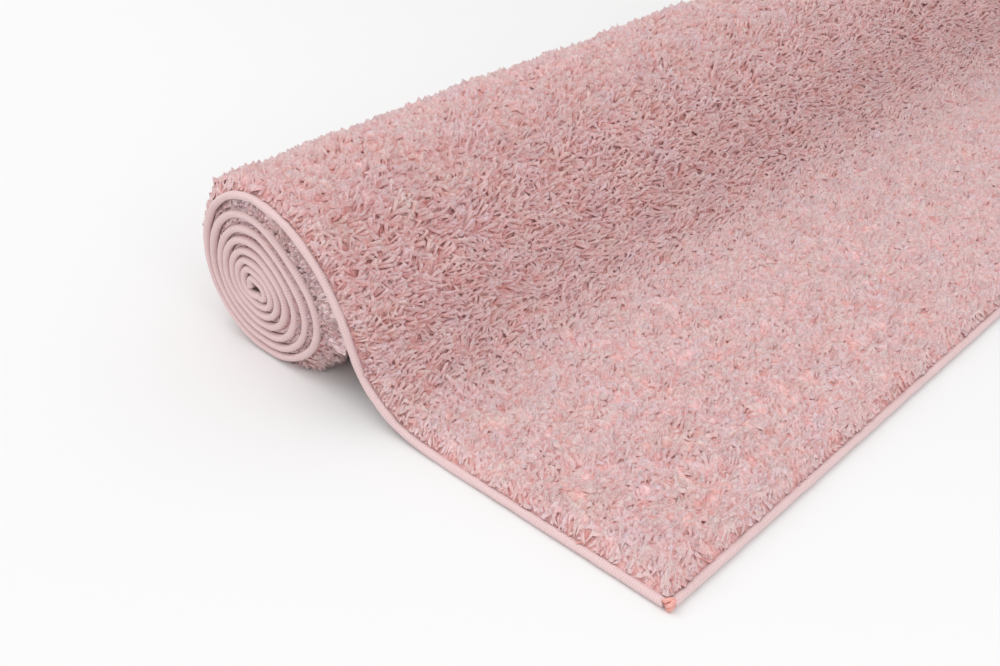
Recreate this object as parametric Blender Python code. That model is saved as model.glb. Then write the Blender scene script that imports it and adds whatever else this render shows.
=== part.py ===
"""A shag rug, 2.30 m long and 1.60 m wide, lying half rolled up with its pile on the outside.

The roll lies along Y with its wound ends at -Y (near) and +Y (far). From the crown of the roll the loose end comes
down to the floor and lies out towards +X. The rug is one solid, carpet. Its backing follows one route in XZ, from the
free end, up over the roll and round it to the core. The overlocked yarn round the rug's edges follows the same route:
a bead along each side, wound like the rug, and a bead across the free end, with a tail of yarn at one corner.
"""

import math

import bmesh
import bpy

# Rug
RUG_WIDTH = 1.600
BACKING = 0.007
PILE = 0.0175
SWELL = 0.0020

# Place of the roll's core and of the free end. The free end's distance puts the origin under the rug's middle
FREE_FROM_CORE = 0.4439
CORE_X = -0.17435
CORE_Z = 0.0632
FREE_X = CORE_X + FREE_FROM_CORE

# Overlocked edge: a bead as wide as the yarn wraps over the rug's edge
BEAD_WIDTH = 0.008
BEAD_THICK = 0.007
GAP = 0.0003
TAIL_RADIUS = 0.0046
TAIL_ROOM = 0.0112

# The backing's middle along the loose end, from where it leaves the floor to just before the crown
# from core  z
LOOSE_END = (
    (0.2180, 0.0035),
    (0.1760, 0.0085),
    (0.1480, 0.0230),
    (0.1290, 0.0440),
    (0.1095, 0.0870),
    (0.0865, 0.1184),
    (0.0510, 0.1440),
    (0.0150, 0.1525),
)
LYING = (0.3940, 0.3340, 0.2740)

# Distance of the backing's middle from the core, one row for each turn, in millimetres
# crown, upper left, left, lower left, bottom, lower right, right, upper right
TURNS = (
    (89.0, 80.5, 71.7, 62.2, 57.7, 65.7, 79.2, 68.7),
    (70.2, 68.2, 63.5, 53.7, 49.2, 56.2, 63.7, 55.0),
    (57.4, 55.7, 53.2, 44.0, 40.7, 45.7, 49.2, 43.6),
    (45.4, 47.7, 45.2, 34.7, 32.2, 34.4, 36.6, 33.0),
    (34.9, 37.9, 35.4, 25.9, 23.4, 24.6, 25.6, 23.6),
    (25.0, 29.7, 27.4, 17.0, 14.4, 16.2, 17.4, 16.2),
    (16.6, 21.6, 19.2, 8.6, 5.0, 7.6, 9.2, 8.6),
)
LAST_TURN = (8.6, 12.6, 11.0)
BEFORE_CROWN = 97.0
STEPS_LOOSE = 3
STEPS_TURN = 3

# Where the pile is pressed thin as the roll's underside nears the floor
#  samples past the crown   share of the pile
PRESSED = {8: 0.85, 9: 0.65, 10: 0.45, 11: 0.15}

# Pile that hangs under the roll's right side, from the flat spot up to where it touches the loose end
# from core  z
UNDER_ROLL = (
    (0.0560, 0.0060),
    (0.0740, 0.0150),
    (0.0860, 0.0240),
    (0.1020, 0.0340),
    (0.1160, 0.0410),
)
FLAT_SPOT = (-0.0110, 0.0120, 0.0340)

# How the pile's height grows in from an edge
#        in       share of the pile
EDGE_RISE = (
    (0.0000, 0.32),
    (0.0030, 0.76),
    (0.0080, 0.94),
    (0.0160, 1.00),
)
SECTION_STEP = 0.105

# Colours in linear light
PINK = (0.700, 0.450, 0.455)
PALE_PINK = (0.745, 0.560, 0.560)
SALMON = (0.830, 0.330, 0.240)


def clear_scene():
    for thing in list(bpy.data.objects):
        bpy.data.objects.remove(thing, do_unlink=True)


def add_collection():
    rug = bpy.data.collections.new("shag_rug")
    bpy.context.scene.collection.children.link(rug)
    return rug


def add_material(name, colour, roughness):
    material = bpy.data.materials.new(name)
    material.use_nodes = True
    shader = material.node_tree.nodes["Principled BSDF"]
    shader.inputs["Base Color"].default_value = (*colour, 1.0)
    shader.inputs["Roughness"].default_value = roughness
    shader.inputs["Metallic"].default_value = 0.0
    return material


def spline(points, steps):
    """A smooth line through the points, steps samples to each span."""
    line = []
    for i in range(len(points) - 1):
        before = points[max(i - 1, 0)]
        start = points[i]
        end = points[i + 1]
        after = points[min(i + 2, len(points) - 1)]
        for k in range(steps):
            t = k / steps
            line.append(
                tuple(
                    0.5 * (2 * b + (c - a) * t + (2 * a - 5 * b + 4 * c - d) * t**2 + (3 * b - a - 3 * c + d) * t**3)
                    for a, b, c, d in zip(before, start, end, after)
                )
            )
    line.append(points[-1])
    return line


def wound_route():
    """The wound part in XZ, from the crown inwards: each column of TURNS is an eighth of a turn on, by way of the left."""
    table = [BEFORE_CROWN] + [radius for row in TURNS for radius in row] + list(LAST_TURN)
    radii = spline([(radius / 1000,) for radius in table], STEPS_TURN)[STEPS_TURN:]
    points = []
    for i, (radius,) in enumerate(radii):
        angle = i * math.pi / 4 / STEPS_TURN
        points.append((CORE_X - radius * math.sin(angle), CORE_Z + radius * math.cos(angle)))
    return points


def backing_route():
    """The middle of the backing in XZ, as the part that lies loose and the part that is wound."""
    wound_line = wound_route()
    lying = [(CORE_X + out, BACKING / 2) for out in (FREE_FROM_CORE, *LYING)]
    rising = [(CORE_X + out, z) for out, z in LOOSE_END]
    past_crown = wound_line[1]
    loose_line = spline(lying + rising + [wound_line[0], past_crown], STEPS_LOOSE)[: -STEPS_LOOSE - 1]
    return loose_line, wound_line


def beside(line, distances):
    """The line moved sideways, to the pile's side where a distance is positive."""
    moved = []
    for i, (x, z) in enumerate(line):
        back = line[max(i - 1, 0)]
        ahead = line[min(i + 1, len(line) - 1)]
        along = (ahead[0] - back[0], ahead[1] - back[1])
        length = math.hypot(*along)
        moved.append((x + along[1] / length * distances[i], z - along[0] / length * distances[i]))
    return moved


def rise(inward):
    """The share of the pile's height that stands this far in from an edge."""
    for (start, low), (end, high) in zip(EDGE_RISE, EDGE_RISE[1:]):
        if inward <= end:
            return low + (high - low) * (inward - start) / (end - start)
    return EDGE_RISE[-1][1]


def swell(along, y):
    """The pile's slow unevenness."""
    return SWELL * (math.sin(23 * along + 4.1 * y) * math.cos(9 * y - 11 * along) + 0.4 * math.sin(31 * y + 1.3))


def carpet_outline(y):
    """The rug's outline in XZ at one place along the roll, anticlockwise as seen from the near side."""
    loose_line, wound_line = backing_route()
    free_in = FREE_X - BEAD_WIDTH - GAP
    inward = RUG_WIDTH / 2 - BEAD_WIDTH - abs(y)
    side_share = rise(inward)

    loose_line = [point for point in loose_line if point[0] < free_in - EDGE_RISE[-1][0] - 0.010]
    edge_line = [(free_in - step, BACKING / 2) for step, _ in EDGE_RISE]
    pile_line = edge_line + loose_line + wound_line[: max(PRESSED) + 1]
    travelled = 0.0
    heights = []
    for i, point in enumerate(pile_line):
        if i:
            travelled += math.dist(point, pile_line[i - 1])
        pressed = PRESSED.get(i - len(edge_line) - len(loose_line), 1.0)
        share = side_share * rise(travelled) * pressed
        heights.append(BACKING / 2 + share * (PILE + swell(travelled, y)))
    top = [(x, max(z, 0.0)) for x, z in beside(pile_line, heights)]

    flat_spot = [(CORE_X + out, 0.0) for out in FLAT_SPOT]
    hanging = [(CORE_X + out, z) for out, z in UNDER_ROLL]
    notch_height = UNDER_ROLL[-1][1]
    lifted = [point for point in loose_line if BACKING / 2 + 0.0006 < point[1] < notch_height + 0.006]
    under = beside(lifted, [-BACKING / 2] * len(lifted))
    under = [point for point in reversed(under) if 0.0004 < point[1] < notch_height - 0.002]
    lift_off = (CORE_X + LOOSE_END[0][0], 0.0)
    lying = [(CORE_X + out, 0.0) for out in reversed(LYING)]
    return [(free_in, 0.0)] + top + flat_spot + hanging + under + [lift_off] + lying


def section_places():
    """Y of the carpet's sections: close together where the pile rises from each side, then evenly spaced."""
    end = RUG_WIDTH / 2 - BEAD_WIDTH - GAP
    rising = [end - step for step, _ in EDGE_RISE]
    count = math.ceil(2 * rising[-1] / SECTION_STEP)
    middle = [-rising[-1] + 2 * rising[-1] * i / count for i in range(1, count)]
    return [-y for y in rising] + middle + rising[::-1]


def add_carpet(rug, material):
    """A skin laid over outlines at each section, closed by a face at both ends. No modifier makes a shape whose
    outline changes along its length, so its faces are made here."""
    mesh = bpy.data.meshes.new("carpet")
    shape = bmesh.new()
    rings = []
    for y in section_places():
        rings.append([shape.verts.new((x, y, z)) for x, z in carpet_outline(y)])
    count = len(rings[0])
    for ring, following in zip(rings, rings[1:]):
        for i in range(count):
            j = (i + 1) % count
            shape.faces.new((ring[i], ring[j], following[j], following[i]))
    shape.faces.new(rings[0][::-1])
    shape.faces.new(rings[-1])
    bmesh.ops.triangulate(shape, faces=shape.faces[:])
    bmesh.ops.recalc_face_normals(shape, faces=shape.faces[:])
    shape.to_mesh(mesh)
    shape.free()
    carpet = bpy.data.objects.new("carpet", mesh)
    carpet.data.materials.append(material)
    rug.objects.link(carpet)
    return carpet


def add_bead(rug, name, points, material):
    """A bead of overlocked yarn along a route in its own XY, BEAD_WIDTH wide along its Z."""
    curve = bpy.data.curves.new(name, "CURVE")
    curve.dimensions = "3D"
    curve.twist_mode = "Z_UP"
    curve.fill_mode = "FULL"
    curve.bevel_depth = BEAD_THICK / 2
    curve.bevel_resolution = 0
    curve.extrude = (BEAD_WIDTH - BEAD_THICK) / 2
    curve.use_fill_caps = True
    route = curve.splines.new("POLY")
    route.points.add(len(points) - 1)
    for place, (x, y) in zip(route.points, points):
        place.co = (x, y, 0.0, 1.0)
    bead = bpy.data.objects.new(name, curve)
    curve.materials.append(material)
    rug.objects.link(bead)
    return bead


def add_side_beads(rug, material):
    """The same wound route at both sides. The near one leaves room at the corner for the yarn's tail."""
    loose_line, wound_line = backing_route()
    route = loose_line + wound_line
    near = [(FREE_X - TAIL_ROOM, BACKING / 2)] + route[1:]
    offset = (RUG_WIDTH - BEAD_WIDTH) / 2
    for name, points, y in (("binding_near", near, -offset), ("binding_far", route, offset)):
        bead = add_bead(rug, name, points, material)
        bead.rotation_euler = (math.pi / 2, 0.0, 0.0)
        bead.location = (0.0, y, 0.0)


def add_end_bead(rug, material):
    """The bead across the free end, between the corner's tail and the far side's bead."""
    near_end = -RUG_WIDTH / 2 + TAIL_ROOM
    far_end = RUG_WIDTH / 2 - BEAD_WIDTH - GAP
    bead = add_bead(rug, "binding_end", [(0.0, near_end), (0.0, far_end)], material)
    bead.rotation_euler = (0.0, math.pi / 2, 0.0)
    bead.location = (FREE_X - BEAD_WIDTH / 2, 0.0, BEAD_THICK / 2)


def add_tail(rug, material):
    """The knotted tail of the overlocking yarn, at the near corner of the free end."""
    bpy.ops.mesh.primitive_uv_sphere_add(segments=14, ring_count=8, radius=TAIL_RADIUS)
    tail = bpy.context.object
    tail.name = "corner_yarn_tail"
    tail.location = (FREE_X - TAIL_RADIUS, -RUG_WIDTH / 2 + TAIL_RADIUS, TAIL_RADIUS)
    tail.data.materials.append(material)
    for collection in list(tail.users_collection):
        collection.objects.unlink(tail)
    rug.objects.link(tail)


def main():
    clear_scene()
    rug = add_collection()
    pile = add_material("shag_pile", PINK, 0.95)
    yarn = add_material("overlock_yarn", PALE_PINK, 0.85)
    tail_yarn = add_material("tail_yarn", SALMON, 0.85)
    add_carpet(rug, pile)
    add_side_beads(rug, yarn)
    add_end_bead(rug, yarn)
    add_tail(rug, tail_yarn)


main()
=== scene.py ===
"""The looks of a shag rug that lies half rolled up, pile outward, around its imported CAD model.

Every surface is laid out on one route, the middle of the backing in XZ, from the free end up over
the roll and round it to the core. A point of the rug is (s, y, h): s metres along the route, y along
the roll, h off the backing on the pile's side.
"""

import math

import bpy
import numpy as np
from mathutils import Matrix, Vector


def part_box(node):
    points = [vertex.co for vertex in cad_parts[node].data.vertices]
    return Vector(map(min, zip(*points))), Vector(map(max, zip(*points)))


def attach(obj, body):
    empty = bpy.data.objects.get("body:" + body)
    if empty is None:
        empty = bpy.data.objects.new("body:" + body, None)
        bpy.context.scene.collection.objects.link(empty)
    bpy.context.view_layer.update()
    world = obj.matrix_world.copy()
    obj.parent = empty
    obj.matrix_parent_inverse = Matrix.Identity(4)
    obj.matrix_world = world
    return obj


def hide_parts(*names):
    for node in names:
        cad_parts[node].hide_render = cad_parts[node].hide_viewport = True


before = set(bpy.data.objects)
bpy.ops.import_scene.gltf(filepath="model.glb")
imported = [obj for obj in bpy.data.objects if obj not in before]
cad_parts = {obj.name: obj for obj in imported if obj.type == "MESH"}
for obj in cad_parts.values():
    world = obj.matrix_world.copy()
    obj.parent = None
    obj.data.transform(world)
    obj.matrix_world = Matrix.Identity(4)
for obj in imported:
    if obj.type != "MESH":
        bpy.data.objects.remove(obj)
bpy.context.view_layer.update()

# The rug, as in its CAD model
RUG_WIDTH = 1.600
BACKING = 0.007
BEAD_WIDTH = 0.008
FREE_FROM_CORE = 0.4439
CORE_Z = 0.0632
LOOSE_END = (
    (0.2180, 0.0035),
    (0.1760, 0.0085),
    (0.1480, 0.0230),
    (0.1290, 0.0440),
    (0.1095, 0.0870),
    (0.0865, 0.1184),
    (0.0510, 0.1440),
    (0.0150, 0.1525),
)
LYING = (0.3940, 0.3340, 0.2740)
# The middle of the backing in millimetres from the core, one row to a turn, every 45 degrees: crown,
# upper left, left, lower left, bottom, lower right, right, upper right
TURNS = (
    (89.0, 80.5, 71.7, 62.2, 57.7, 65.7, 79.2, 68.7),
    (70.2, 68.2, 63.5, 53.7, 49.2, 56.2, 63.7, 55.0),
    (57.4, 55.7, 53.2, 44.0, 40.7, 45.7, 49.2, 43.6),
    (45.4, 47.7, 45.2, 34.7, 32.2, 34.4, 36.6, 33.0),
    (34.9, 37.9, 35.4, 25.9, 23.4, 24.6, 25.6, 23.6),
    (25.0, 29.7, 27.4, 17.0, 14.4, 16.2, 17.4, 16.2),
    (16.6, 21.6, 19.2, 8.6, 5.0, 7.6, 9.2, 8.6),
)
LAST_TURN = (8.6, 12.6, 11.0)
# The same for the 45 degrees before the crown, so that the first turn starts with the right slope
BEFORE_CROWN = 97.0

FREE_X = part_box("binding_end")[1].x
CORE_X = FREE_X - FREE_FROM_CORE
HALF = RUG_WIDTH / 2

# Each piece draws from this in turn, so their order decides their looks.
rng = np.random.default_rng(20)


# ---------------------------------------------------------------- the route

def spline(points, steps):
    """A smooth line through the points, steps samples to each span."""
    p = np.asarray(points, float)
    p = np.vstack([p[:1], p, p[-1:]])
    t = np.arange(steps)[:, None] / steps
    spans = []
    for a, b, c, d in zip(p, p[1:], p[2:], p[3:]):
        square = 2 * a - 5 * b + 4 * c - d
        cube = 3 * b - a - 3 * c + d
        spans.append(0.5 * (2 * b + (c - a) * t + square * t**2 + cube * t**3))
    return np.vstack(spans + [p[-1:]])


class Route:
    """The middle of the backing: places, directions and pile-side normals at s from the free end."""

    STEPS = 24
    SAMPLES = 6000
    # The part of the loose end that closes the gap outside the first turn
    CLOSING_ANGLE = -135
    CLOSING_REACH = 0.20

    def __init__(self):
        table = [BEFORE_CROWN, *(radius for row in TURNS for radius in row), *LAST_TURN]
        radii = spline([(radius / 1000,) for radius in table], self.STEPS)[self.STEPS :, 0]
        angle = np.arange(len(radii)) * math.pi / 4 / self.STEPS
        wound = np.stack([CORE_X - radii * np.sin(angle), CORE_Z + radii * np.cos(angle)], 1)
        lying = [(CORE_X + out, BACKING / 2) for out in (FREE_FROM_CORE, *LYING)]
        rising = [(CORE_X + out, z) for out, z in LOOSE_END]
        # The loose end comes to the crown heading for a point a little way round the first turn.
        ahead = wound[self.STEPS // 3]
        loose = spline(lying + rising + [wound[0], ahead], self.STEPS)[: -self.STEPS - 1]
        line = np.vstack([loose, wound])
        steps = np.linalg.norm(np.diff(line, axis=0), axis=1)
        along = np.concatenate([[0], np.cumsum(steps)])
        self.length = along[-1]
        self.s = np.linspace(0, self.length, self.SAMPLES)
        self.x = np.interp(self.s, along, line[:, 0])
        self.z = np.interp(self.s, along, line[:, 1])
        self.crown = along[len(loose)]
        self.turn_s = along[len(loose) :]
        self.turn_angle = np.degrees(angle)
        self.radii = radii
        tx = np.gradient(self.x, self.s)
        tz = np.gradient(self.z, self.s)
        size = np.hypot(tx, tz)
        self.tx = tx / size
        self.tz = tz / size
        loose_angle = np.degrees(np.arctan2(CORE_X - loose[:, 0], loose[:, 1] - CORE_Z))
        near = (loose_angle > self.CLOSING_ANGLE) & (loose[:, 0] < CORE_X + self.CLOSING_REACH)
        loose_radius = np.hypot(loose[near, 0] - CORE_X, loose[near, 1] - CORE_Z)
        self.out_angle = np.concatenate([loose_angle[near], self.turn_angle])
        self.out_radius = np.concatenate([loose_radius, radii])

    def at_angle(self, degrees):
        """s where the wound part has turned this far from the crown."""
        return float(np.interp(degrees, self.turn_angle, self.turn_s))

    def gap(self, s):
        """Free space between the pile side of the wound part at s and the turn outside it."""
        angle = np.interp(s, self.turn_s, self.turn_angle)
        outer = np.interp(angle - 360, self.out_angle, self.out_radius)
        own = np.interp(s, self.turn_s, self.radii)
        return outer - own - BACKING

    def place(self, s, y, h):
        """World points of (s, y, h)."""
        s = np.clip(s, 0, self.length)
        x = np.interp(s, self.s, self.x)
        z = np.interp(s, self.s, self.z)
        tx = np.interp(s, self.s, self.tx)
        tz = np.interp(s, self.s, self.tz)
        return np.stack([x + tz * h, y + 0 * s, z - tx * h], -1)

    def normal(self, s):
        """Directions off the sheet, on the pile's side."""
        tx = np.interp(s, self.s, self.tx)
        tz = np.interp(s, self.s, self.tz)
        return np.stack([tz, 0 * tz, -tx], -1)


route = Route()
# The roll's pile comes round to the floor at ROUND_END, and the loose end hides it from PILE_END on.
ROUND_END = route.at_angle(165)
PILE_END = route.at_angle(285)


# ---------------------------------------------------------------- small helpers

# The spread of the waves' sizes, and what brings their sum to about 1
WAVE_SIZES = (0.6, 1.7)
WAVE_LEVEL = 1.2


def waves(u, v, scale, seed, count=12):
    """Smooth seeded noise between about -1 and 1, features scale metres across, a sum of waves."""
    draw = np.random.default_rng(seed)
    total = np.zeros(np.broadcast(u, v).shape)
    for _ in range(count):
        heading = draw.uniform(0, 2 * math.pi)
        size = scale * draw.uniform(*WAVE_SIZES)
        phase = draw.uniform(0, 2 * math.pi)
        along = u * math.cos(heading) + v * math.sin(heading)
        total = total + np.sin(2 * math.pi * along / size + phase)
    return total / math.sqrt(count) / WAVE_LEVEL


def make_mesh(name, points, faces, colours=None, normals=None, smooth=True):
    """A mesh object from arrays. faces is (n, 3) or (n, 4). colours and normals have a row a point."""
    mesh = bpy.data.meshes.new(name)
    points = np.asarray(points, np.float32).reshape(-1, 3)
    faces = np.asarray(faces, np.int32)
    sides = faces.shape[1]
    mesh.vertices.add(len(points))
    mesh.vertices.foreach_set("co", points.ravel())
    mesh.loops.add(faces.size)
    mesh.loops.foreach_set("vertex_index", faces.ravel())
    mesh.polygons.add(len(faces))
    starts = np.arange(0, faces.size, sides, dtype=np.int32)
    mesh.polygons.foreach_set("loop_start", starts)
    mesh.polygons.foreach_set("use_smooth", np.full(len(faces), smooth))
    mesh.update(calc_edges=True)
    if colours is not None:
        layer = mesh.color_attributes.new("yarn", "FLOAT_COLOR", "POINT")
        rows = np.ones((len(points), 4), np.float32)
        rows[:, : colours.shape[1]] = colours
        layer.data.foreach_set("color", rows.ravel())
    if normals is not None:
        mesh.normals_split_custom_set_from_vertices(np.asarray(normals, np.float32).tolist())
    made = bpy.data.objects.new(name, mesh)
    bpy.context.scene.collection.objects.link(made)
    return made


def grid_faces(rows, columns, closed=False):
    """Quads of a grid of points, rows x columns, its columns joined round if closed."""
    r = np.arange(rows - 1)[:, None]
    c = np.arange(columns if closed else columns - 1)[None, :]
    n = (c + 1) % columns
    a, b = r * columns + c, r * columns + n
    d, e = (r + 1) * columns + n, (r + 1) * columns + c
    return np.stack([a, b, d, e], -1).reshape(-1, 4)


# ---------------------------------------------------------------- materials

WHITE = (1.0, 1.0, 1.0)
# The pile's yarns, and what little light near the roots does to them
CREAM = (0.940, 0.832, 0.803)
PINK = (0.935, 0.708, 0.718)
LILAC = (0.915, 0.770, 0.838)
SALMON = (0.885, 0.475, 0.430)
ROOT_SHADE = (0.840, 0.560, 0.530)
# The deepest flecks in the strands, and in the packed pile below them
YARN_FLECK = (0.86, 0.72, 0.70)
PACKED_FLECK = (0.74, 0.56, 0.53)
SHEEN_TINT = (1.0, 0.85, 0.83)
# The overlocked edge: painted shade in the grooves between its wraps, its own colour on them, and its
# flecks
SHADE_BETWEEN_WRAPS = (0.640, 0.440, 0.440)
ON_WRAPS = (0.810, 0.610, 0.610)
WRAP_FLECK = (0.90, 0.87, 0.87)
BACKING_DARK = (0.560, 0.400, 0.385)
BACKING_LIGHT = (0.690, 0.520, 0.500)
BETWEEN_THREADS = (0.82, 0.80, 0.80)
TAIL_DARK = (0.720, 0.320, 0.280)
TAIL_LIGHT = (0.870, 0.470, 0.420)
FLOOR_COLOUR = (0.83, 0.83, 0.83)


def new_material(name):
    """A material, its node tree and its shader."""
    material = bpy.data.materials.new(name)
    material.use_nodes = True
    tree = material.node_tree
    return material, tree, tree.nodes["Principled BSDF"]


def add_node(tree, kind, **values):
    """A new node. Each value sets the input of that name, or else the property."""
    node = tree.nodes.new(kind)
    for key, value in values.items():
        if key in node.inputs:
            node.inputs[key].default_value = value
        else:
            setattr(node, key, value)
    return node


def ramp(tree, source, stops):
    """The colour that source picks between two stops, (place, colour) each."""
    node = tree.nodes.new("ShaderNodeValToRGB")
    for point, (place, colour) in zip(node.color_ramp.elements, stops):
        point.position = place
        point.color = (*colour, 1.0)
    tree.links.new(source, node.inputs["Fac"])
    return node.outputs["Color"]


def multiply(tree, one, two):
    """The product of two colours."""
    node = add_node(tree, "ShaderNodeMix", data_type="RGBA", blend_type="MULTIPLY")
    node.inputs["Factor"].default_value = 1.0
    tree.links.new(one, node.inputs["A"])
    tree.links.new(two, node.inputs["B"])
    return node.outputs["Result"]


def noise(tree, **values):
    """Noise fixed to the object."""
    place = tree.nodes.new("ShaderNodeTexCoord")
    node = add_node(tree, "ShaderNodeTexNoise", **values)
    tree.links.new(place.outputs["Object"], node.inputs["Vector"])
    return node.outputs["Fac"]


def add_bump(tree, shader, height, strength, distance):
    """Lets the height tilt the shader's normals."""
    bump = add_node(tree, "ShaderNodeBump", Strength=strength, Distance=distance)
    tree.links.new(height, bump.inputs["Height"])
    tree.links.new(bump.outputs["Normal"], shader.inputs["Normal"])


def pile_material(name, fineness, deep):
    """Frieze yarn, coloured by the yarn attribute, with frizz and flecks down to the deep colour."""
    material, tree, shader = new_material(name)
    colour = add_node(tree, "ShaderNodeVertexColor", layer_name="yarn")
    frizz = noise(tree, Scale=fineness, Detail=4.0, Roughness=0.7)
    fleck = ramp(tree, frizz, ((0.34, deep), (0.56, WHITE)))
    final = multiply(tree, colour.outputs["Color"], fleck)
    tree.links.new(final, shader.inputs["Base Color"])
    add_bump(tree, shader, frizz, strength=0.6, distance=0.0016)
    shader.inputs["Roughness"].default_value = 0.95
    shader.inputs["Specular IOR Level"].default_value = 0.12
    shader.inputs["Sheen Weight"].default_value = 0.20
    shader.inputs["Sheen Roughness"].default_value = 0.6
    shader.inputs["Sheen Tint"].default_value = (*SHEEN_TINT, 1.0)
    return material


def overlock_material():
    """Yarn wrapped over the edge. The colour attribute holds how far a point stands up from between
    the wraps, and the grooves between them get painted shade."""
    material, tree, shader = new_material("overlock_yarn")
    level = add_node(tree, "ShaderNodeVertexColor", layer_name="yarn")
    parts = tree.nodes.new("ShaderNodeSeparateColor")
    tree.links.new(level.outputs["Color"], parts.inputs["Color"])
    # Painted shade in the grooves between the wraps; on the wraps the yarn keeps its own colour
    wrap = ramp(tree, parts.outputs["Red"], ((0.0, SHADE_BETWEEN_WRAPS), (0.7, ON_WRAPS)))
    fibre = noise(tree, Scale=900.0, Detail=2.0, Roughness=0.6)
    fleck = ramp(tree, fibre, ((0.30, WRAP_FLECK), (0.65, WHITE)))
    tree.links.new(multiply(tree, wrap, fleck), shader.inputs["Base Color"])
    add_bump(tree, shader, fibre, strength=0.35, distance=0.0006)
    shader.inputs["Roughness"].default_value = 0.85
    shader.inputs["Specular IOR Level"].default_value = 0.2
    shader.inputs["Sheen Weight"].default_value = 0.2
    return material


def backing_material():
    """Woven backing: threads side by side, in blotches of darker and lighter cloth."""
    material, tree, shader = new_material("backing_weave")
    place = tree.nodes.new("ShaderNodeTexCoord")
    threads = add_node(
        tree, "ShaderNodeTexWave", Scale=320.0, Distortion=1.2, wave_type="BANDS", bands_direction="Y"
    )
    tree.links.new(place.outputs["Object"], threads.inputs["Vector"])
    blotch = noise(tree, Scale=40.0, Detail=3.0)
    tone = ramp(tree, blotch, ((0.3, BACKING_DARK), (0.7, BACKING_LIGHT)))
    lined = ramp(tree, threads.outputs["Fac"], ((0.0, BETWEEN_THREADS), (1.0, WHITE)))
    tree.links.new(multiply(tree, tone, lined), shader.inputs["Base Color"])
    add_bump(tree, shader, threads.outputs["Fac"], strength=0.4, distance=0.0005)
    shader.inputs["Roughness"].default_value = 0.9
    return material


def tail_material():
    """The salmon coloured knot of overlocking yarn."""
    material, tree, shader = new_material("tail_yarn")
    fibre = noise(tree, Scale=700.0, Detail=2.0)
    tone = ramp(tree, fibre, ((0.3, TAIL_DARK), (0.7, TAIL_LIGHT)))
    tree.links.new(tone, shader.inputs["Base Color"])
    add_bump(tree, shader, fibre, strength=0.5, distance=0.0008)
    shader.inputs["Roughness"].default_value = 0.85
    return material


def floor_material():
    """Matt white paper."""
    material, _, shader = new_material("floor_paper")
    shader.inputs["Base Color"].default_value = (*FLOOR_COLOUR, 1.0)
    shader.inputs["Roughness"].default_value = 0.9
    shader.inputs["Specular IOR Level"].default_value = 0.1
    return material


# ---------------------------------------------------------------- the backing

BACKING_SHEET = 0.003
# How far the sheet stops short of the rug's sides, its free end and its inner end
SHEET_INSET = 0.0055
SHEET_START = 0.004
SHEET_LAST = 0.001
# Rows along the loose part and the wound part, and columns across, up to this far from the sides
SHEET_ROWS = (90, 330)
SHEET_COLUMNS = 18
SHEET_MARGIN = 0.02


def make_backing(material):
    """The backing cloth: one sheet, wound and laid as the rug is, 3 mm thick."""
    loose = np.linspace(SHEET_START, route.crown, SHEET_ROWS[0])
    rolled = np.linspace(route.crown, route.length - SHEET_LAST, SHEET_ROWS[1])
    inner = np.linspace(-HALF + SHEET_MARGIN, HALF - SHEET_MARGIN, SHEET_COLUMNS)
    s = np.unique(np.concatenate([loose, rolled]))
    y = np.concatenate([[-HALF + SHEET_INSET], inner, [HALF - SHEET_INSET]])
    ss, yy = np.meshgrid(s, y, indexing="ij")
    top = route.place(ss, yy, np.full(ss.shape, BACKING_SHEET / 2))
    bottom = route.place(ss, yy, np.full(ss.shape, -BACKING_SHEET / 2))
    count = ss.size
    upper = grid_faces(*ss.shape)
    lower = upper[:, ::-1] + count
    index = np.arange(count).reshape(ss.shape)
    rim = np.concatenate([index[0, :], index[1:, -1], index[-1, -2::-1], index[-2:0:-1, 0]])
    after = np.roll(rim, -1)
    side = np.stack([after, rim, rim + count, after + count], 1)
    points = np.vstack([top.reshape(-1, 3), bottom.reshape(-1, 3)])
    made = make_mesh("backing", points, np.vstack([upper, lower, side]), smooth=False)
    made.data.materials.append(material)
    return made


# ---------------------------------------------------------------- the pile

PILE = 0.0175
# The pile's rise from the inner side of the overlocked edge to full height
RISE_IN = (-0.005, 0.000, 0.003, 0.008, 0.016)
RISE_SHARE = (0.00, 0.34, 0.78, 0.96, 1.00)
# Its swells: height, size and seed
SWELLS = ((0.0016, 0.16, 3), (0.0012, 0.045, 4), (0.0011, 0.020, 6))
# From this angle on, the turn outside presses on the pile
PRESSED_FROM = 200
LEAST_PRESSED = 0.001
# How far the packed base lies below the crown, from the loose end to the back of the roll
DEPTH_AT = (0.22, 0.31, 0.40, 0.47)
DEPTH = (0.0057, 0.0102, 0.0104, 0.0072)


def pile_height(s, y):
    """Height of the pile's crown above the middle of the backing."""
    from_side = HALF - BEAD_WIDTH - np.abs(y)
    from_end = s - BEAD_WIDTH
    share = np.interp(from_side, RISE_IN, RISE_SHARE) * np.interp(from_end, RISE_IN, RISE_SHARE)
    swell = sum(height * waves(s, y, size, seed) for height, size, seed in SWELLS)
    free = BACKING / 2 + share * (PILE + swell)
    pressed = BACKING / 2 + np.maximum(route.gap(s), LEAST_PRESSED)
    return np.where(s > route.at_angle(PRESSED_FROM), np.minimum(free, pressed), free)


def base_height(s, y):
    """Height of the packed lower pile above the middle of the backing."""
    return np.maximum(pile_height(s, y) - np.interp(s, DEPTH_AT, DEPTH), BACKING_SHEET / 2)


# What is mixed into the pink: colour, usual share, swing from place to place with its size and seed,
# and the part of the strand to strand spread that it takes
BLENDS = (
    (CREAM, 0.26, 0.28, 0.045, 21, 1.0),
    (LILAC, 0.22, 0.28, 0.060, 23, 1.0),
    (SALMON, 0.04, 0.10, 0.030, 22, 0.4),
)
STRAND_SPREAD = 0.22
PACKED_SPREAD = 0.1


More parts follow.
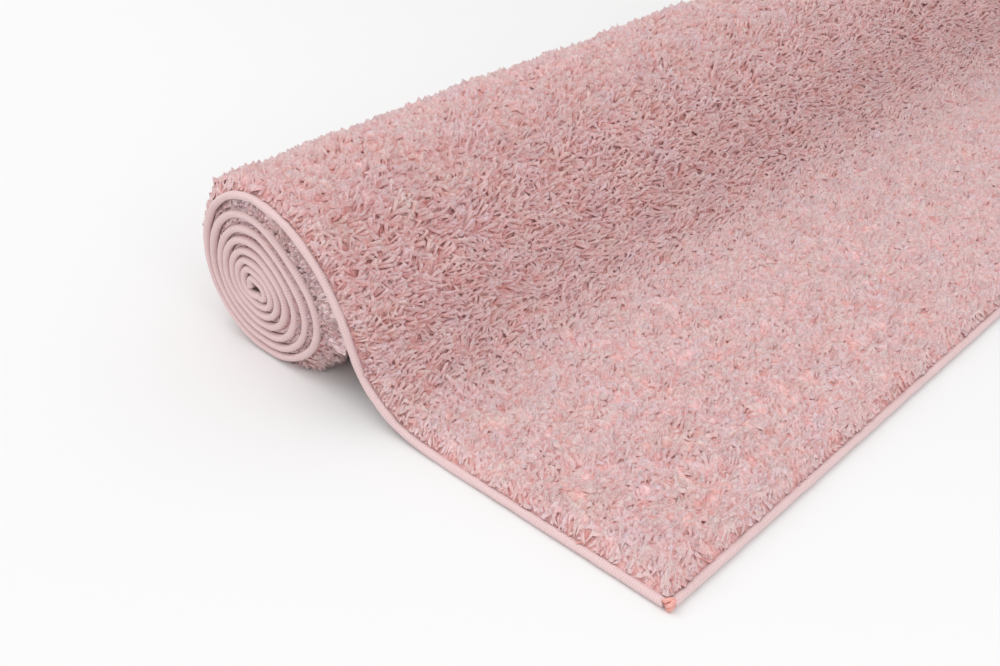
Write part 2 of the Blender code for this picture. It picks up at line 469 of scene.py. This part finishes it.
def yarn_colour(s, y, spread):
    """The yarn's colour at each place. It drifts over the rug, and spreads from strand to strand."""
    colour = np.broadcast_to(np.array(PINK), (*s.shape, 3))
    for goal, usual, swing, size, seed, part in BLENDS:
        amount = usual + swing * waves(s, y, size, seed) + rng.normal(0, part * spread, s.shape)
        share = np.clip(amount, 0, 1)[..., None]
        colour = colour * (1 - share) + np.array(goal) * share
    return colour


ON_FLOOR = 0.0006


def on_floor(points):
    """Yarn that would sink below the floor lies on it."""
    points[..., 2] = np.maximum(points[..., 2], ON_FLOOR)
    return points


# The packed skin: its rows close to the overlocked edge, then evenly on
SKIN_EDGE = BEAD_WIDTH + np.array([-0.004, -0.001, 0.002, 0.005])
SKIN_START = 0.018
SKIN_STEP = (0.0055, 0.0060)
SKIN_END = 0.017
# The outermost rows are tucked into the overlocked edge, and the others stay above the backing.
TUCKED = 0.005
LEAST_SKIN = 0.0005
# Its lumps: height, size, seed, number of waves, and the height of the roughness on top
LUMPS = (0.0010, 0.018, 8, 18)
ROUGHNESS = 0.0007
# How deep in shade the skin is, and what a lump of the full height changes
SKIN_SHADE = 0.70
LUMP_SHADE = 0.40
FULL_LUMP = 0.002


def make_base(material):
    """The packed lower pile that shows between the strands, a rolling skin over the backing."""
    s = np.concatenate([SKIN_EDGE, np.arange(SKIN_START, PILE_END, SKIN_STEP[0])])
    inner = np.arange(-HALF + SKIN_START, HALF - SKIN_END, SKIN_STEP[1])
    y = np.concatenate([-HALF + SKIN_EDGE, inner, (HALF - SKIN_EDGE)[::-1]])
    ss, yy = np.meshgrid(s, y, indexing="ij")
    height, size, seed, count = LUMPS
    lumps = height * waves(ss, yy, size, seed, count) + ROUGHNESS * rng.standard_normal(ss.shape)
    share = np.clip((pile_height(ss, yy) - BACKING / 2) / PILE, 0, 1)
    h = np.maximum(base_height(ss, yy) + share * lumps, BACKING_SHEET / 2 + LEAST_SKIN)
    h = np.where((np.abs(yy) > HALF - TUCKED) | (ss < TUCKED), 0.0, h)
    points = on_floor(route.place(ss, yy, h))
    depth = SKIN_SHADE - LUMP_SHADE * np.clip(lumps / FULL_LUMP, -1, 1)
    colours = yarn_colour(ss, yy, PACKED_SPREAD) * np.array(ROOT_SHADE) ** depth[..., None]
    made = make_mesh("pile_base", points, grid_faces(*ss.shape), colours.reshape(-1, 3))
    made.data.materials.append(material)
    return made


# One strand has a ring of three points (flank, top, flank) at its root, another at its belly, and a
# tip. First its turn and its share of length on the way to belly and tip.
ACROSS = 3
TURNING = np.array([-0.4, 0.7])
SEGMENTS = np.array([0.58, 0.42])
# How high root, belly and tip stand in rises, how thick root and belly are in radii, and how much
# that varies
CLIMB = np.array([0.20, 1.0, 0.10])
THICKNESS = np.array([0.75, 1.0])
UNEVEN = (0.8, 1.2)
# The flanks: how far aside and how far down they are in thicknesses, and the share of the strand's
# height off the ground that they keep, at DEPTH_AT
SPREAD = 1.15
FOOT_DROP = 0.4
FOOT_LIFT = (0.42, 0.84, 0.84, 0.52)
# How deep in shade root, belly and tip are, and how much deeper the flanks are
TONE = np.array([0.40, 0.0, 0.25])
FLANK_TONE = 0.32
# How far the shading turns aside at the flanks, and how far it follows the pile as a whole
SPLAY = 2
SOFTNESS = 0.42
# Pile bent outward over the roll opens into separate, thicker looking strands with deeper shade
# between them
OPENED_AT = (0.25, 0.38, ROUND_END, PILE_END)
OPEN_SIZE = (1.0, 1.2, 1.2, 1.0)
OPEN_TONE = (1.0, 1.9, 1.9, 0.7)
# Keeps a vector of no length from being divided by zero
TINY = 1e-9


def unit(vectors):
    """The vectors scaled to length one."""
    return vectors / (np.linalg.norm(vectors, axis=-1, keepdims=True) + TINY)


def strand_faces(rings):
    """Triangles of one strand open below: rings of ACROSS points each, then the tip."""
    faces = []
    for r in range(rings - 1):
        for k in range(ACROSS - 1):
            a, b = r * ACROSS + k, r * ACROSS + k + 1
            faces += [(a, b, b + ACROSS), (a, b + ACROSS, a + ACROSS)]
    last, tip = (rings - 1) * ACROSS, rings * ACROSS
    return np.array(faces + [(last + k, last + k + 1, tip) for k in range(ACROSS - 1)])


def strand_mesh(name, s0, y0, lean, length, ground, rise, hook, radius, colour, material):
    """Many curved strands of yarn as one mesh, each a hollow ridge open below. A strand starts at
    (s0, y0) and leans over along lean, an angle in the sheet, 0 towards the core. It turns by hook on
    its way, and arches by rise over the ground, a height above the backing for any (s, y)."""
    count = len(s0)
    rings = len(THICKNESS)
    heading = lean[:, None] + hook[:, None] * TURNING
    reach = np.cumsum(length[:, None] * SEGMENTS * np.cos(heading), 1)
    drift = np.cumsum(length[:, None] * SEGMENTS * np.sin(heading), 1)
    zero = np.zeros((count, 1))
    s = s0[:, None] + np.hstack([zero, reach])
    y = y0[:, None] + np.hstack([zero, drift])
    floor = ground(s, y)
    h = floor + rise[:, None] * CLIMB
    centre = route.place(s, y, h)
    tangent = unit(np.gradient(centre, axis=1))
    off_sheet = route.normal(s)
    across = unit(np.cross(tangent, off_sheet))
    upward = np.cross(across, tangent)

    thickness = radius[:, None] * THICKNESS * rng.uniform(*UNEVEN, (count, len(CLIMB)))[:, :rings]
    s, y, h, floor = s[:, :rings], y[:, :rings], h[:, :rings], floor[:, :rings]
    lift = np.interp(s, DEPTH_AT, FOOT_LIFT)
    foot = route.place(s, y, floor + lift * (h - floor) - FOOT_DROP * thickness)
    top = route.place(s, y, h + thickness)
    aside = SPREAD * thickness[..., None] * across[:, :rings]
    ridge = np.stack([foot - aside, top, foot + aside], 2).reshape(count, -1, 3)
    points = on_floor(np.concatenate([ridge, centre[:, -1:]], 1))
    first = np.arange(count) * points.shape[1]
    faces = strand_faces(rings) + first[:, None, None]

    flank = np.array([FLANK_TONE, 0.0, FLANK_TONE])
    tone = np.concatenate([(TONE[:rings, None] + flank).ravel(), TONE[-1:]])
    deeper = np.interp(s0, OPENED_AT, OPEN_TONE)
    shade = np.array(ROOT_SHADE) ** (deeper[:, None, None] * tone[None, :, None])
    colours = colour[:, None, :] * shade
    # Fleecy yarn scatters light inside the pile, so its shading leans towards that of the whole pile.
    own = np.stack([upward - SPLAY * across, upward, upward + SPLAY * across], 2)[:, :rings]
    own = unit(np.concatenate([own.reshape(count, -1, 3), upward[:, -1:]], 1))
    whole = np.concatenate([np.repeat(off_sheet[:, :rings], ACROSS, 1), off_sheet[:, -1:]], 1)
    normals = unit((1 - SOFTNESS) * own + SOFTNESS * whole)
    made = make_mesh(
        name,
        points.reshape(-1, 3),
        faces.reshape(-1, 3),
        colours.reshape(-1, 3),
        normals.reshape(-1, 3),
    )
    made.data.materials.append(material)
    return made


def scatter(s_low, s_high, y_low, y_high, spacing):
    """Jittered places, one to a cell of the spacing."""
    rows = max(1, round((s_high - s_low) / spacing))
    columns = max(1, round((y_high - y_low) / spacing))
    r, c = np.meshgrid(np.arange(rows), np.arange(columns), indexing="ij")
    s = s_low + (r + rng.uniform(0, 1, r.shape)) * (s_high - s_low) / rows
    y = y_low + (c + rng.uniform(0, 1, c.shape)) * (y_high - y_low) / columns
    return s.ravel(), y.ravel()


def chance(share, count):
    """True for about this share of the strands."""
    return rng.uniform(0, 1, count) < share


# More strands grow in a strip along each edge.
EDGE_STRIP = 0.016
EDGE_SPACING = 0.0030
# How close to the bead a strand may start, and how close to the rug's side it may reach
EDGE_GAP = 0.0005
EDGE_REACH = 0.0045
# Lengths and radii of strands, what is left of these where the pile is lowest, the share of the room
# above the packed base that a strand rises through, and how far it curls sideways
LENGTHS = (0.0080, 0.0170)
LOW_LENGTH = 0.7
RADII = (0.0008, 0.0015)
LOW_RADIUS = 0.8
LOWEST_PILE = 0.15
RISES = (0.10, 1.0)
HOOKS = (-1.5, 1.5)
# This share of the strands strays above the others.
STRAYS = 0.14
STRAY_RISE = (0.001, 0.004)
# Strands lean along the roll: how loosely at which s, their drifts (angle, size, seed) and spread
LOOSENESS = ((0.22, 0.34), (1.0, 0.55))
DRIFTS = ((0.9, 0.08, 11), (1.1, 0.022, 12))
LEAN_SPREAD = 0.75
# Many near a side lean outward: the width of that strip, their share and spread
OUTWARD = (0.026, 0.55, 0.9)
# The same for strands that lean out over the free end
HANGING = (0.012, 0.35, 0.8)
# Of the strands that would pass an edge, this share lies over the bead, kept short. The others lean
# back in.
OVER_SIDE = 0.7
OVER_END = 0.6
SHORTEST_OVER = 0.005
# The small gaps between tufts: size, seed and number of the waves, where on them a gap starts and
# how much further on it is at its deepest. Then what strands lose there in height, and their shade
HOLLOWS = (0.011, 13, 24, -0.15, 0.6)
HOLLOW_DROP = 0.85
HOLLOW_TONE = 0.75
STRAND_SINK = 0.0008


def hollows(s, y):
    """How deep a place lies between tufts: 0 on most of the pile, up to 1 in the gaps."""
    size, seed, count, start, full = HOLLOWS
    return np.clip(start - waves(s, y, size, seed, count), 0, full) / full


def under_strands(s, y):
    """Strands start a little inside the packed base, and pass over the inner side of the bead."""
    return np.maximum(base_height(s, y) - STRAND_SINK, BACKING / 2)


def make_pile(name, s_low, s_high, y_low, y_high, spacing, material):
    """The strands of one stretch of pile. They lean in drifts, mostly along the roll, and stand a
    little off it. More of them grow in a strip along each edge."""
    fields = [scatter(s_low, s_high, y_low, y_high, spacing)]
    edge = HALF - BEAD_WIDTH
    if y_low < -edge:
        fields.append(scatter(s_low, s_high, -edge, -edge + EDGE_STRIP, EDGE_SPACING))
    if y_high > edge:
        fields.append(scatter(s_low, s_high, edge - EDGE_STRIP, edge, EDGE_SPACING))
    if s_low <= BEAD_WIDTH:
        fields.append(scatter(BEAD_WIDTH, BEAD_WIDTH + EDGE_STRIP, y_low, y_high, EDGE_SPACING))
    s = np.concatenate([field[0] for field in fields])
    y = np.concatenate([field[1] for field in fields])
    inside = (np.abs(y) < edge - EDGE_GAP) & (s > BEAD_WIDTH + EDGE_GAP)
    s, y = s[inside], y[inside]
    count = len(s)

    drift = sum(angle * waves(s, y, size, seed) for angle, size, seed in DRIFTS)
    lean = math.pi / 2 + np.interp(s, *LOOSENESS) * (drift + rng.normal(0, LEAN_SPREAD, count))
    strip, share, spread = OUTWARD
    outward = (np.abs(y) > HALF - strip) & chance(share, count)
    lean = np.where(outward, np.sign(y) * math.pi / 2 + rng.normal(0, spread, count), lean)

    crown = pile_height(s, y)
    fullness = np.clip((crown - BACKING / 2) / PILE, LOWEST_PILE, 1)
    opened = np.interp(s, OPENED_AT, OPEN_SIZE)
    length = opened * rng.uniform(*LENGTHS, count) * (LOW_LENGTH + (1 - LOW_LENGTH) * fullness)
    radius = opened * rng.uniform(*RADII, count) * (LOW_RADIUS + (1 - LOW_RADIUS) * fullness)
    rise = (crown - base_height(s, y)) * rng.uniform(*RISES, count)
    stray = chance(STRAYS, count)
    rise = np.where(stray, rise + rng.uniform(*STRAY_RISE, count) / opened**2, rise)
    hollow = hollows(s, y)
    rise = rise * (1 - HOLLOW_DROP * hollow)
    hook = rng.uniform(*HOOKS, count)

    to_side = HALF - EDGE_REACH - np.abs(y)
    past_side = np.abs(y + length * np.sin(lean)) > HALF - EDGE_REACH
    over = past_side & chance(OVER_SIDE, count)
    length = np.where(over, np.minimum(length, np.maximum(to_side, SHORTEST_OVER)), length)
    lean = np.where(past_side & ~over, -lean, lean)

    to_end = s - EDGE_REACH
    past_end = s + length * np.cos(lean) < EDGE_REACH
    strip, share, spread = HANGING
    hanging = (to_end < strip) & chance(share, count)
    lean = np.where(hanging, math.pi + rng.normal(0, spread, count), lean)
    over = hanging | (past_end & chance(OVER_END, count))
    length = np.where(over, np.minimum(length, np.maximum(to_end, SHORTEST_OVER)), length)
    lean = np.where(past_end & ~over, math.pi - lean, lean)

    shade = np.array(ROOT_SHADE) ** (HOLLOW_TONE * hollow[:, None])
    colour = yarn_colour(s, y, STRAND_SPREAD) * shade
    return strand_mesh(name, s, y, lean, length, under_strands, rise, hook, radius, colour, material)


# The pile between the turns shows at both ends of the roll, from this angle to just before the inner
# end of the cloth.
FLUFF_FROM = 262
FLUFF_END = 0.004
FLUFF_STEP = 0.0022
FLUFF_JITTER = 0.001
NARROWEST = 0.0012
# Wide gaps get more strands, which point more freely.
WIDE = 0.006
WIDE_EXTRA = 5
FREE_GAP = 0.008
FREE_SPREAD = 0.8
FLUFF_SPREAD = 0.35
# How far inside the rug's side a strand starts, how far short of the side it stops, and its length
FLUFF_DEPTH = (0.006, 0.016)
FLUFF_SHORT = (0.001, 0.005)
FLUFF_LENGTH = (0.004, 0.016)
# The widest gap that the fluff fills, and where a strand lies in it
TALLEST = 0.024
FLUFF_PLACE = (0.15, 0.95)
# Radius and rise as shares of the gap, with their limits
FLUFF_RADIUS = 0.35
FLUFF_RADII = (0.0007, 0.0021)
FLUFF_RISE = 0.4
MOST_RISE = 0.003
# How far strands curl where the gap is this wide. In narrower gaps they curl less.
FLUFF_HOOKS = (-1.2, 1.2)
HOOKED_GAP = 0.01


def make_wound_pile(name, side, material):
    """The fluff between the wound turns at one end of the roll. side is -1 near, 1 far."""
    s = np.arange(route.at_angle(FLUFF_FROM), route.length - FLUFF_END, FLUFF_STEP)
    s = s + rng.uniform(-FLUFF_JITTER, FLUFF_JITTER, len(s))
    gap = np.maximum(route.gap(s), NARROWEST)
    wide = gap > WIDE
    s = np.concatenate([s, *[s[wide]] * WIDE_EXTRA])
    gap = np.concatenate([gap, *[gap[wide]] * WIDE_EXTRA])
    count = len(s)
    depth = rng.uniform(*FLUFF_DEPTH, count)
    y = side * (HALF - depth)
    lean = side * math.pi / 2 + rng.normal(0, FLUFF_SPREAD, count)
    lean = lean + np.where(gap > FREE_GAP, rng.normal(0, FREE_SPREAD, count), 0)
    length = np.clip(depth - rng.uniform(*FLUFF_SHORT, count), *FLUFF_LENGTH)
    tall = np.minimum(gap, TALLEST)
    radius = np.clip(FLUFF_RADIUS * gap, *FLUFF_RADII)
    top = BACKING / 2 + tall * rng.uniform(*FLUFF_PLACE, count) - radius
    rise = np.minimum(FLUFF_RISE * tall, MOST_RISE)
    root = np.maximum(top - rise, BACKING_SHEET / 2)[:, None]

    def level(*_):
        return root

    hook = rng.uniform(*FLUFF_HOOKS, count) * np.clip(gap / HOOKED_GAP, 0, 1)
    colour = yarn_colour(s, y, STRAND_SPREAD)
    return strand_mesh(name, s, y, lean, length, level, rise, hook, radius, colour, material)


# The packed pile behind the fluff bulges out between the turns: how far it lies inside the rug's
# side, from one turn to the next
WALL_INSIDE = np.array([0.010, 0.0068, 0.0055, 0.0068, 0.010])
WALL_ROWS = 1500
WALL_GAP = (0.0010, 0.024)
# How rough it is, as a share of the gap and with its limits
WALL_ROUGHNESS = 0.12
WALL_ROUGH = (0.0003, 0.0012)


def make_wound_wall(name, side, material):
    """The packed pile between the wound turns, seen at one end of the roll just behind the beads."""
    s = np.linspace(route.at_angle(FLUFF_FROM), route.length - FLUFF_END, WALL_ROWS)
    ss, share = np.meshgrid(s, np.linspace(0, 1, len(WALL_INSIDE)), indexing="ij")
    gap = np.clip(route.gap(ss), *WALL_GAP)
    h = BACKING_SHEET / 2 + share * (gap + BACKING - BACKING_SHEET)
    rough = np.clip(WALL_ROUGHNESS * gap, *WALL_ROUGH) * rng.standard_normal(ss.shape)
    y = side * (HALF - WALL_INSIDE - rough)
    points = on_floor(route.place(ss, y, h))
    colours = yarn_colour(ss, y, PACKED_SPREAD)
    faces = grid_faces(*ss.shape)
    made = make_mesh(name, points, faces[:, ::-1] if side > 0 else faces, colours.reshape(-1, 3))
    made.data.materials.append(material)
    return made


# ---------------------------------------------------------------- the overlocked edges

WRAP_PITCH = 0.0022
WRAP_STEP = 0.00074
# The ribs that the wraps make: their height, how sharp they are and how much of a rib lies below the
# bead's own surface
WRAP_RIB = 0.00018
RIB_SHARP = 0.7
RIB_LEVEL = 0.6
# How far a wrap slants on its way round the bead, in pitches, and where it turns back
SLANT = 0.60
SLANT_FROM = 0.4
# How uneven the bead is: height, size and seed
WOBBLE = (0.00018, 0.03, 31)
BEAD_CLEARANCE = 0.0001
BEAD_AROUND = 8
# The colour level of a point halfway up a rib, and of the caps at the bead's ends
HALF_LEVEL = 0.5


def bead_sections(centre, out, across, along, name, material):
    """A bead of wrapped yarn along centre. out is the direction off the sheet, across the one away
    from the rug."""
    turn = np.linspace(0, 2 * math.pi, BEAD_AROUND, endpoint=False)[None, :]
    slant = SLANT * np.abs(np.sin(turn / 2 + SLANT_FROM))
    phase = 2 * math.pi * (along[:, None] / WRAP_PITCH + slant)
    height, size, seed = WOBBLE
    wobble = height * waves(along, 0 * along, size, seed)[:, None]
    rib = WRAP_RIB * (np.abs(np.sin(phase / 2)) ** RIB_SHARP - RIB_LEVEL)
    off = (BACKING / 2 - BEAD_CLEARANCE + rib + wobble)[..., None] * np.cos(turn)[..., None]
    aside = (BEAD_WIDTH / 2 + rib + wobble)[..., None] * np.sin(turn)[..., None]
    points = centre[:, None, :] + off * out[:, None, :] + aside * across[:, None, :]
    rings = len(points)
    points = np.concatenate([points.reshape(-1, 3), centre[:1], centre[-1:]])
    faces = grid_faces(rings, BEAD_AROUND, closed=True)
    start, end = len(points) - 2, len(points) - 1
    last = (rings - 1) * BEAD_AROUND
    after = [(k + 1) % BEAD_AROUND for k in range(BEAD_AROUND)]
    caps = [(start, after[k], k) for k in range(BEAD_AROUND)]
    caps += [(end, last + k, last + after[k]) for k in range(BEAD_AROUND)]
    triangles = np.vstack([faces[:, [0, 1, 2]], faces[:, [0, 2, 3]], caps])
    # The level colours the bead: low in the grooves between wraps for painted shade, high on the wraps
    level = np.clip(HALF_LEVEL + rib / WRAP_RIB, 0, 1).reshape(-1)
    level = np.concatenate([level, [HALF_LEVEL, HALF_LEVEL]])
    made = make_mesh(name, on_floor(points), triangles, level[:, None] * np.ones((1, 3)))
    made.data.materials.append(material)
    return made


def make_side_bead(name, side, start, material):
    """The bead along one side, from start to the core. side is -1 near, 1 far."""
    s = np.arange(start, route.length, WRAP_STEP)
    y = np.full(len(s), side * (HALF - BEAD_WIDTH / 2))
    centre = route.place(s, y, np.zeros(len(s)))
    across = np.tile([0.0, float(side), 0.0], (len(s), 1))
    return bead_sections(centre, route.normal(s), across, s, name, material)


def make_end_bead(name, near, far, material):
    """The bead across the free end, from near to far along Y."""
    y = np.arange(near, far, WRAP_STEP)
    centre = np.stack([np.full(len(y), FREE_X - BEAD_WIDTH / 2), y, np.full(len(y), BACKING / 2)], 1)
    up = np.tile([0.0, 0.0, 1.0], (len(y), 1))
    across = np.tile([1.0, 0.0, 0.0], (len(y), 1))
    return bead_sections(centre, up, across, y, name, material)


KNOT_YARN = 0.0017
KNOT_STEPS = 60
KNOT_AROUND = 8
# The knot is a line that swings twice along X and three times along Y while it goes round once in Z.
KNOT_TURNS = (2, 3, 1)
KNOT_SHIFT = 0.5
KNOT_FILL = (0.9, 0.9, 0.95)
# Any direction that the line never points in
KNOT_REFERENCE = (0.31, 0.22, 0.92)


def make_tail(name, material):
    """The knotted end of the overlocking yarn: loops of soft yarn drawn into a knob."""
    low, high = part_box("corner_yarn_tail")
    middle = (low + high) / 2
    reach = (high.z - low.z) / 2 - KNOT_YARN
    turn = np.linspace(0, 2 * math.pi, KNOT_STEPS, endpoint=False)
    line = np.stack([
        middle.x + reach * np.sin(KNOT_TURNS[0] * turn) * KNOT_FILL[0],
        middle.y + reach * np.sin(KNOT_TURNS[1] * turn + KNOT_SHIFT) * KNOT_FILL[1],
        middle.z + reach * np.cos(KNOT_TURNS[2] * turn) * KNOT_FILL[2],
    ], 1)
    ahead = unit(np.roll(line, -1, 0) - np.roll(line, 1, 0))
    side = unit(np.cross(ahead, KNOT_REFERENCE))
    other = np.cross(ahead, side)
    ring = np.linspace(0, 2 * math.pi, KNOT_AROUND, endpoint=False)[None, :, None]
    round_line = np.cos(ring) * side[:, None, :] + np.sin(ring) * other[:, None, :]
    points = line[:, None, :] + KNOT_YARN * round_line
    faces = grid_faces(KNOT_STEPS + 1, KNOT_AROUND, closed=True) % (KNOT_STEPS * KNOT_AROUND)
    made = make_mesh(name, points.reshape(-1, 3), faces)
    made.data.materials.append(material)
    return made


# ---------------------------------------------------------------- stage, light and camera

CAMERA_FROM_CORNER = Vector((0.2839, -0.4574, 0.564))
HEADING = 43.81
PITCH = 33.01
LENS = 41.0
FILM_WIDTH = 36.0
CLIP_END = 100.0
FLOOR_SIZE = 30.0
SKY_STRENGTH = 0.81
# Disk lights: name, place, what it points at, size and power
LIGHTS = (
    ("key", (-1.8, -1.2, 3.0), (0.0, -0.2, 0.0), 3.2, 42),
    ("fill", (1.6, -1.4, 1.4), (0.0, -0.5, 0.0), 1.6, 10.5),
)


def make_floor():
    bpy.ops.mesh.primitive_plane_add(size=FLOOR_SIZE, location=(0.0, 0.0, 0.0))
    floor = bpy.context.object
    floor.name = "floor"
    floor.data.materials.append(floor_material())


def make_camera():
    """The camera, placed from the near corner of the free end."""
    data = bpy.data.cameras.new("camera")
    data.lens = LENS
    data.sensor_width = FILM_WIDTH
    data.clip_end = CLIP_END
    camera = bpy.data.objects.new("camera", data)
    camera.location = Vector((FREE_X, -HALF, 0.0)) + CAMERA_FROM_CORNER
    camera.rotation_euler = (math.radians(90 - PITCH), 0.0, math.radians(HEADING))
    bpy.context.scene.collection.objects.link(camera)
    bpy.context.scene.camera = camera


def add_area(name, place, target, size, power):
    data = bpy.data.lights.new(name, "AREA")
    data.shape = "DISK"
    data.size = size
    data.energy = power
    light = bpy.data.objects.new(name, data)
    light.location = place
    light.rotation_euler = (Vector(target) - Vector(place)).to_track_quat("-Z", "Y").to_euler()
    bpy.context.scene.collection.objects.link(light)


def make_light():
    """A white studio: an even sky, a wide key light behind the roll and a fill in front of the rug."""
    world = bpy.data.worlds.new("studio")
    world.use_nodes = True
    sky = world.node_tree.nodes["Background"]
    sky.inputs["Color"].default_value = (*WHITE, 1.0)
    sky.inputs["Strength"].default_value = SKY_STRENGTH
    bpy.context.scene.world = world
    for light in LIGHTS:
        add_area(*light)
    bpy.context.scene.view_settings.view_transform = "Standard"


# ---------------------------------------------------------------- put together

YARN_FINENESS = 420.0
PACKED_FINENESS = 300.0
# The under side of the roll has strands only this far in from each side.
UNDER_WIDTH = 0.10
# Each stretch of pile: name, s from and to, y from and to, spacing of its strands
STRETCHES = (
    ("pile_free_end", BEAD_WIDTH, 0.085, -HALF, HALF, 0.0032),
    ("pile_lying", 0.085, 0.185, -HALF, HALF, 0.0032),
    ("pile_bend", 0.185, 0.285, -HALF, HALF, 0.0032),
    ("pile_foot", 0.285, 0.385, -HALF, HALF, 0.0032),
    ("pile_slope", 0.385, 0.480, -HALF, HALF, 0.0032),
    ("pile_crown", 0.480, 0.580, -HALF, HALF, 0.0034),
    ("pile_back", 0.580, ROUND_END, -HALF, HALF, 0.0040),
    ("pile_under_near", ROUND_END, PILE_END, -HALF, -HALF + UNDER_WIDTH, 0.0036),
    ("pile_under_far", ROUND_END, PILE_END, HALF - UNDER_WIDTH, HALF, 0.0036),
)
# The beads leave this much free at the corner for the knot.
TAIL_ROOM = 0.0076

yarn = pile_material("pile_yarn", YARN_FINENESS, YARN_FLECK)
packed = pile_material("packed_yarn", PACKED_FINENESS, PACKED_FLECK)
overlock = overlock_material()
backing = make_backing(backing_material())
base = make_base(packed)
piles = [make_pile(*stretch, yarn) for stretch in STRETCHES]
wound = [
    make_wound_pile("pile_wound_near", -1, yarn),
    make_wound_pile("pile_wound_far", 1, yarn),
    make_wound_wall("packed_near", -1, yarn),
    make_wound_wall("packed_far", 1, yarn),
]
beads = [
    make_side_bead("overlock_near", -1, TAIL_ROOM, overlock),
    make_side_bead("overlock_far", 1, 0.0, overlock),
    make_end_bead("overlock_end", -HALF + TAIL_ROOM, HALF - BEAD_WIDTH, overlock),
]
tail = make_tail("yarn_tail", tail_material())

everything = [backing, base, *piles, *wound, *beads, tail]
for piece in everything:
    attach(piece, "root")
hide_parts("carpet")
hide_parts("binding_near")
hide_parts("binding_far")
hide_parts("binding_end")
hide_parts("corner_yarn_tail")

make_floor()
make_camera()
make_light()
